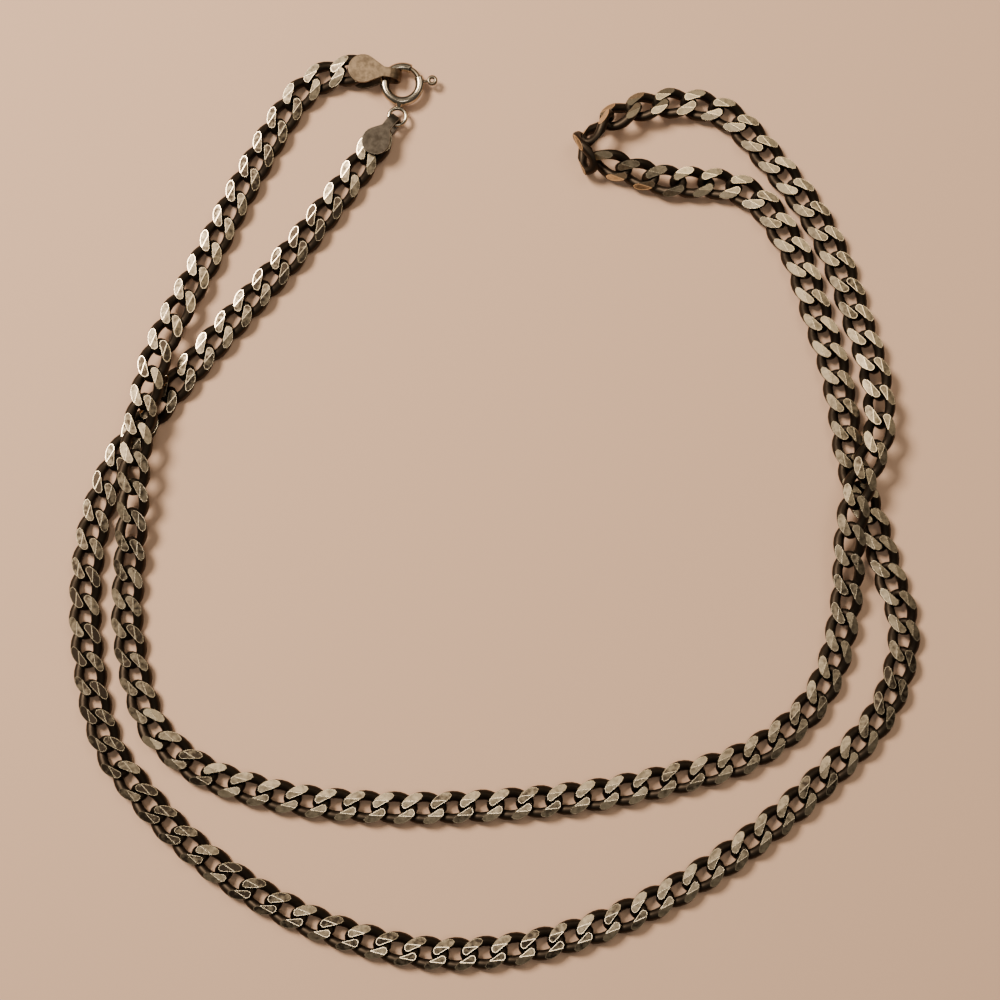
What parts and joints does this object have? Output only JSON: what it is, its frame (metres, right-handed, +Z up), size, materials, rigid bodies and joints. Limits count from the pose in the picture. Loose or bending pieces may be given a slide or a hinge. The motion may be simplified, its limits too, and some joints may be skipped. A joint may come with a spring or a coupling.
{
  "type": "chain necklace",
  "caption": "Curb chain necklace of planed, twisted links, laid down in a doubled loop and closed with a spring bolt ring between folded end tabs.",
  "frame": {"origin": "Under the middle of the bounding box, on the surface the necklace lies on.", "axes": "+Z is up from the surface. +Y runs from the middle towards the clasp's side and is the longest way across. +X is to the right."},
  "size_m": [0.1078, 0.1172, 0.0044],
  "materials": {
    "chain": "tarnished silver with worn, polished flats",
    "tabs": "worn silver sheet",
    "bolt_ring": "polished silver tube and wire",
    "spring": "bare spring wire"
  },
  "bodies": {
    "length_01": {"chain_length_01": "chain", "end_tab_on_ring": "tabs"},
    "length_02": {"chain_length_02": "chain"},
    "length_03": {"chain_length_03": "chain"},
    "length_04": {"chain_length_04": "chain"},
    "length_05": {"chain_length_05": "chain"},
    "length_06": {"chain_length_06": "chain"},
    "length_07": {"chain_length_07": "chain"},
    "length_08": {"chain_length_08": "chain"},
    "length_09": {"chain_length_09": "chain"},
    "length_10": {"chain_length_10": "chain"},
    "length_11": {"chain_length_11": "chain"},
    "length_12": {"chain_length_12": "chain"},
    "length_13": {"chain_length_13": "chain"},
    "length_14": {"chain_length_14": "chain"},
    "length_15": {"chain_length_15": "chain"},
    "length_16": {"chain_length_16": "chain"},
    "length_17": {"chain_length_17": "chain"},
    "length_18": {"chain_length_18": "chain"},
    "length_19": {"chain_length_19": "chain"},
    "length_20": {"chain_length_20": "chain"},
    "length_21": {"chain_length_21": "chain"},
    "length_22": {"chain_length_22": "chain"},
    "length_23": {"chain_length_23": "chain"},
    "length_24": {"chain_length_24": "chain"},
    "length_25": {"chain_length_25": "chain"},
    "length_26": {"chain_length_26": "chain"},
    "length_27": {"chain_length_27": "chain"},
    "length_28": {"chain_length_28": "chain"},
    "length_29": {"chain_length_29": "chain"},
    "length_30": {"chain_length_30": "chain"},
    "length_31": {"chain_length_31": "chain"},
    "length_32": {"chain_length_32": "chain"},
    "length_33": {"chain_length_33": "chain"},
    "length_34": {"chain_length_34": "chain"},
    "length_35": {"chain_length_35": "chain"},
    "length_36": {"chain_length_36": "chain"},
    "length_37": {"chain_length_37": "chain"},
    "length_38": {"chain_length_38": "chain"},
    "length_39": {"chain_length_39": "chain"},
    "length_40": {"chain_length_40": "chain"},
    "length_41": {"chain_length_41": "chain"},
    "length_42": {"chain_length_42": "chain"},
    "length_43": {"chain_length_43": "chain"},
    "length_44": {"chain_length_44": "chain"},
    "length_45": {"chain_length_45": "chain"},
    "length_46": {"chain_length_46": "chain"},
    "length_47": {"chain_length_47": "chain"},
    "length_48": {"chain_length_48": "chain"},
    "length_49": {"chain_length_49": "chain"},
    "length_50": {"chain_length_50": "chain"},
    "length_51": {"chain_length_51": "chain"},
    "length_52": {"chain_length_52": "chain"},
    "length_53": {"chain_length_53": "chain"},
    "length_54": {"chain_length_54": "chain", "end_tab_on_loop": "tabs"},
    "bolt_ring": {"bolt_ring_tube": "bolt_ring", "end_loop": "bolt_ring", "bolt_spring": "spring"},
    "bolt": {"bolt_with_thumb_eye": "bolt_ring"}
  },
  "joints": [
    {"name": "flex_26_27", "type": "hinge", "parent": "length_27", "child": "length_26", "pos_m": [0.01491, 0.04943, 0.00215], "axis": [0.4962, -0.4445, 0.7458], "range_deg": [0, 60]},
    {"name": "flex_25_26", "type": "hinge", "parent": "length_26", "child": "length_25", "pos_m": [0.02533, 0.05196, 0.0012], "axis": [0.0726, 0.995, -0.068], "range_deg": [-40, 40]},
    {"name": "flex_24_25", "type": "hinge", "parent": "length_25", "child": "length_24", "pos_m": [0.0344, 0.04661, 0.00091], "axis": [-0.776, -0.6308, 0.0001], "range_deg": [-38, 38]},
    {"name": "flex_23_24", "type": "hinge", "parent": "length_24", "child": "length_23", "pos_m": [0.04101, 0.0379, 0.00091], "axis": [0.8512, 0.5248, 0], "range_deg": [-40, 40]},
    {"name": "flex_22_23", "type": "hinge", "parent": "length_23", "child": "length_22", "pos_m": [0.04546, 0.02793, 0.00093], "axis": [-0.8999, -0.436, -0.0001], "range_deg": [-38, 38]},
    {"name": "flex_21_22", "type": "hinge", "parent": "length_22", "child": "length_21", "pos_m": [0.04842, 0.01739, 0.00171], "axis": [0.9996, 0.0268, -0.0023], "range_deg": [-30, 0]},
    {"name": "flex_20_21", "type": "hinge", "parent": "length_21", "child": "length_20", "pos_m": [0.04814, 0.0066, 0.00316], "axis": [-0.9435, 0.3313, 0], "range_deg": [0, 40]},
    {"name": "flex_19_20", "type": "hinge", "parent": "length_20", "child": "length_19", "pos_m": [0.04508, -0.00385, 0.00287], "axis": [0.9999, -0.0157, 0.0023], "range_deg": [0, 30]},
    {"name": "flex_18_19", "type": "hinge", "parent": "length_19", "child": "length_18", "pos_m": [0.04423, -0.01476, 0.00124], "axis": [-0.9996, 0.0277, 0.0003], "range_deg": [-40, 40]},
    {"name": "flex_17_18", "type": "hinge", "parent": "length_18", "child": "length_17", "pos_m": [0.04056, -0.02496, 0.00091], "axis": [0.7863, -0.6178, 0], "range_deg": [-40, 40]},
    {"name": "flex_16_17", "type": "hinge", "parent": "length_17", "child": "length_16", "pos_m": [0.03228, -0.03192, 0.00091], "axis": [-0.5741, 0.8188, 0], "range_deg": [-40, 40]},
    {"name": "flex_15_16", "type": "hinge", "parent": "length_16", "child": "length_15", "pos_m": [0.02187, -0.03518, 0.00091], "axis": [0.2248, -0.9744, 0], "range_deg": [-40, 40]},
    {"name": "flex_14_15", "type": "hinge", "parent": "length_15", "child": "length_14", "pos_m": [0.01111, -0.03723, 0.00091], "axis": [-0.1344, 0.9909, 0], "range_deg": [-40, 40]},
    {"name": "flex_13_14", "type": "hinge", "parent": "length_14", "child": "length_13", "pos_m": [0.00022, -0.03825, 0.00091], "axis": [-0.0041, -1, 0], "range_deg": [-40, 40]},
    {"name": "flex_12_13", "type": "hinge", "parent": "length_13", "child": "length_12", "pos_m": [-0.01072, -0.03862, 0.00091], "axis": [0.081, 0.9967, 0], "range_deg": [-40, 40]},
    {"name": "flex_11_12", "type": "hinge", "parent": "length_12", "child": "length_11", "pos_m": [-0.02165, -0.03798, 0.00091], "axis": [-0.1818, -0.9833, 0], "range_deg": [-40, 40]},
    {"name": "flex_10_11", "type": "hinge", "parent": "length_11", "child": "length_10", "pos_m": [-0.03234, -0.03569, 0.00091], "axis": [0.2995, 0.9541, 0], "range_deg": [-40, 40]},
    {"name": "flex_09_10", "type": "hinge", "parent": "length_10", "child": "length_09", "pos_m": [-0.04156, -0.03009, 0.00091], "axis": [-0.6772, -0.7358, 0], "range_deg": [-40, 40]},
    {"name": "flex_08_09", "type": "hinge", "parent": "length_09", "child": "length_08", "pos_m": [-0.04572, -0.02015, 0.00092], "axis": [0.9813, 0.1923, 0], "range_deg": [-40, 40]},
    {"name": "flex_07_08", "type": "hinge", "parent": "length_08", "child": "length_07", "pos_m": [-0.04633, -0.00926, 0.00124], "axis": [-0.998, 0.0631, 0.0011], "range_deg": [-40, 0]},
    {"name": "flex_06_07", "type": "hinge", "parent": "length_07", "child": "length_06", "pos_m": [-0.04564, 0.00167, 0.00287], "axis": [0.9992, -0.0387, 0.0029], "range_deg": [0, 40]},
    {"name": "flex_05_06", "type": "hinge", "parent": "length_06", "child": "length_05", "pos_m": [-0.04441, 0.01253, 0.00316], "axis": [-0.9803, 0.1975, 0], "range_deg": [-40, 15]},
    {"name": "flex_04_05", "type": "hinge", "parent": "length_05", "child": "length_04", "pos_m": [-0.04127, 0.02299, 0.00229], "axis": [0.9145, -0.4045, 0.0025], "range_deg": [-40, 40]},
    {"name": "flex_03_04", "type": "hinge", "parent": "length_04", "child": "length_03", "pos_m": [-0.03661, 0.0329, 0.001], "axis": [-0.8999, 0.4361, 0], "range_deg": [-40, 40]},
    {"name": "flex_02_03", "type": "hinge", "parent": "length_03", "child": "length_02", "pos_m": [-0.03174, 0.04271, 0.00091], "axis": [0.8861, -0.4636, 0], "range_deg": [-40, 40]},
    {"name": "flex_01_02", "type": "hinge", "parent": "length_02", "child": "length_01", "pos_m": [-0.0262, 0.05213, 0.00093], "axis": [-0.8369, 0.5473, -0.0003], "range_deg": [-40, 40]},
    {"name": "flex_27_28", "type": "hinge", "parent": "length_27", "child": "length_28", "pos_m": [0.01675, 0.04317, 0.00219], "axis": [0.2309, 0.6619, 0.7132], "range_deg": [-40, 40]},
    {"name": "flex_28_29", "type": "hinge", "parent": "length_28", "child": "length_29", "pos_m": [0.02747, 0.04141, 0.0013], "axis": [-0.0553, -0.9948, -0.0853], "range_deg": [-40, 0]},
    {"name": "flex_29_30", "type": "hinge", "parent": "length_29", "child": "length_30", "pos_m": [0.03657, 0.03637, 0.00092], "axis": [0.7997, 0.6005, -0.0001], "range_deg": [-30, 30]},
    {"name": "flex_30_31", "type": "hinge", "parent": "length_30", "child": "length_31", "pos_m": [0.04097, 0.02642, 0.00091], "axis": [-0.88, -0.4749, 0], "range_deg": [-34, 34]},
    {"name": "flex_31_32", "type": "hinge", "parent": "length_31", "child": "length_32", "pos_m": [0.04397, 0.01589, 0.00091], "axis": [0.9997, 0.0243, 0], "range_deg": [0, 40]},
    {"name": "flex_32_33", "type": "hinge", "parent": "length_32", "child": "length_33", "pos_m": [0.04573, 0.00509, 0.00091], "axis": [-0.9902, 0.1399, 0], "range_deg": [-40, 0]},
    {"name": "flex_33_34", "type": "hinge", "parent": "length_33", "child": "length_34", "pos_m": [0.04899, -0.00535, 0.00091], "axis": [0.963, 0.2696, 0], "range_deg": [-40, 40]},
    {"name": "flex_34_35", "type": "hinge", "parent": "length_34", "child": "length_35", "pos_m": [0.05173, -0.01591, 0.00091], "axis": [-0.9981, -0.0618, 0], "range_deg": [-40, 40]},
    {"name": "flex_35_36", "type": "hinge", "parent": "length_35", "child": "length_36", "pos_m": [0.04903, -0.02633, 0.00091], "axis": [0.8272, -0.5619, 0], "range_deg": [-40, 40]},
    {"name": "flex_36_37", "type": "hinge", "parent": "length_36", "child": "length_37", "pos_m": [0.04187, -0.03455, 0.00091], "axis": [-0.6889, 0.7248, 0], "range_deg": [-40, 40]},
    {"name": "flex_37_38", "type": "hinge", "parent": "length_37", "child": "length_38", "pos_m": [0.03356, -0.04167, 0.00091], "axis": [0.6131, -0.79, 0], "range_deg": [-40, 40]},
    {"name": "flex_38_39", "type": "hinge", "parent": "length_38", "child": "length_39", "pos_m": [0.02449, -0.04778, 0.00091], "axis": [-0.5037, 0.8639, 0], "range_deg": [-40, 40]},
    {"name": "flex_39_40", "type": "hinge", "parent": "length_39", "child": "length_40", "pos_m": [0.01467, -0.0526, 0.00091], "axis": [0.365, -0.931, 0], "range_deg": [-40, 40]},
    {"name": "flex_40_41", "type": "hinge", "parent": "length_40", "child": "length_41", "pos_m": [0.00418, -0.05565, 0.00091], "axis": [-0.2468, 0.9691, 0], "range_deg": [-40, 40]},
    {"name": "flex_41_42", "type": "hinge", "parent": "length_41", "child": "length_42", "pos_m": [-0.00671, -0.05646, 0.00091], "axis": [-0.0487, -0.9988, 0], "range_deg": [-40, 40]},
    {"name": "flex_42_43", "type": "hinge", "parent": "length_42", "child": "length_43", "pos_m": [-0.01744, -0.05444, 0.00091], "axis": [0.293, 0.9561, 0], "range_deg": [-40, 40]},
    {"name": "flex_43_44", "type": "hinge", "parent": "length_43", "child": "length_44", "pos_m": [-0.02755, -0.05029, 0.00091], "axis": [-0.4678, -0.8838, 0], "range_deg": [-40, 40]},
    {"name": "flex_44_45", "type": "hinge", "parent": "length_44", "child": "length_45", "pos_m": [-0.03668, -0.04428, 0.00091], "axis": [0.6302, 0.7764, 0], "range_deg": [-40, 40]},
    {"name": "flex_45_46", "type": "hinge", "parent": "length_45", "child": "length_46", "pos_m": [-0.04448, -0.03662, 0.00091], "axis": [-0.7632, -0.6462, 0], "range_deg": [-40, 40]},
    {"name": "flex_46_47", "type": "hinge", "parent": "length_46", "child": "length_47", "pos_m": [-0.04984, -0.02721, 0.00091], "axis": [0.9584, 0.2854, 0], "range_deg": [-40, 40]},
    {"name": "flex_47_48", "type": "hinge", "parent": "length_47", "child": "length_48", "pos_m": [-0.05168, -0.01644, 0.00091], "axis": [-0.9969, -0.0793, 0], "range_deg": [-40, 40]},
    {"name": "flex_48_49", "type": "hinge", "parent": "length_48", "child": "length_49", "pos_m": [-0.05133, -0.00553, 0.00091], "axis": [0.99, -0.1412, 0], "range_deg": [-40, 0]},
    {"name": "flex_49_50", "type": "hinge", "parent": "length_49", "child": "length_50", "pos_m": [-0.04817, 0.0049, 0.00091], "axis": [-0.894, 0.448, 0], "range_deg": [0, 40]},
    {"name": "flex_50_51", "type": "hinge", "parent": "length_50", "child": "length_51", "pos_m": [-0.04182, 0.01378, 0.00091], "axis": [0.7255, -0.6882, 0], "range_deg": [-40, 40]},
    {"name": "flex_51_52", "type": "hinge", "parent": "length_51", "child": "length_52", "pos_m": [-0.03474, 0.02213, 0.00091], "axis": [-0.7603, 0.6496, 0], "range_deg": [-40, 40]},
    {"name": "flex_52_53", "type": "hinge", "parent": "length_52", "child": "length_53", "pos_m": [-0.02763, 0.03045, 0.00091], "axis": [0.7692, -0.639, 0], "range_deg": [-40, 40]},
    {"name": "flex_53_54", "type": "hinge", "parent": "length_53", "child": "length_54", "pos_m": [-0.02087, 0.03907, 0.00093], "axis": [-0.7968, 0.6043, 0], "range_deg": [-40, 40]},
    {"name": "bolt_ring_tilt", "type": "hinge", "parent": "length_54", "child": "bolt_ring", "pos_m": [-0.01329, 0.04942, 0.00136], "axis": [-0.104, 0.9946, 0], "range_deg": [-15, 15]},
    {"name": "bolt_slide", "type": "hinge", "parent": "bolt_ring", "child": "bolt", "pos_m": [-0.01201, 0.05468, 0.00136], "axis": [0, 0, -1], "range_deg": [0, 40], "stiffness_Nm_per_rad": 0.0005, "springref_deg": -17.19, "deforming": ["bolt_spring"]}
  ]
}
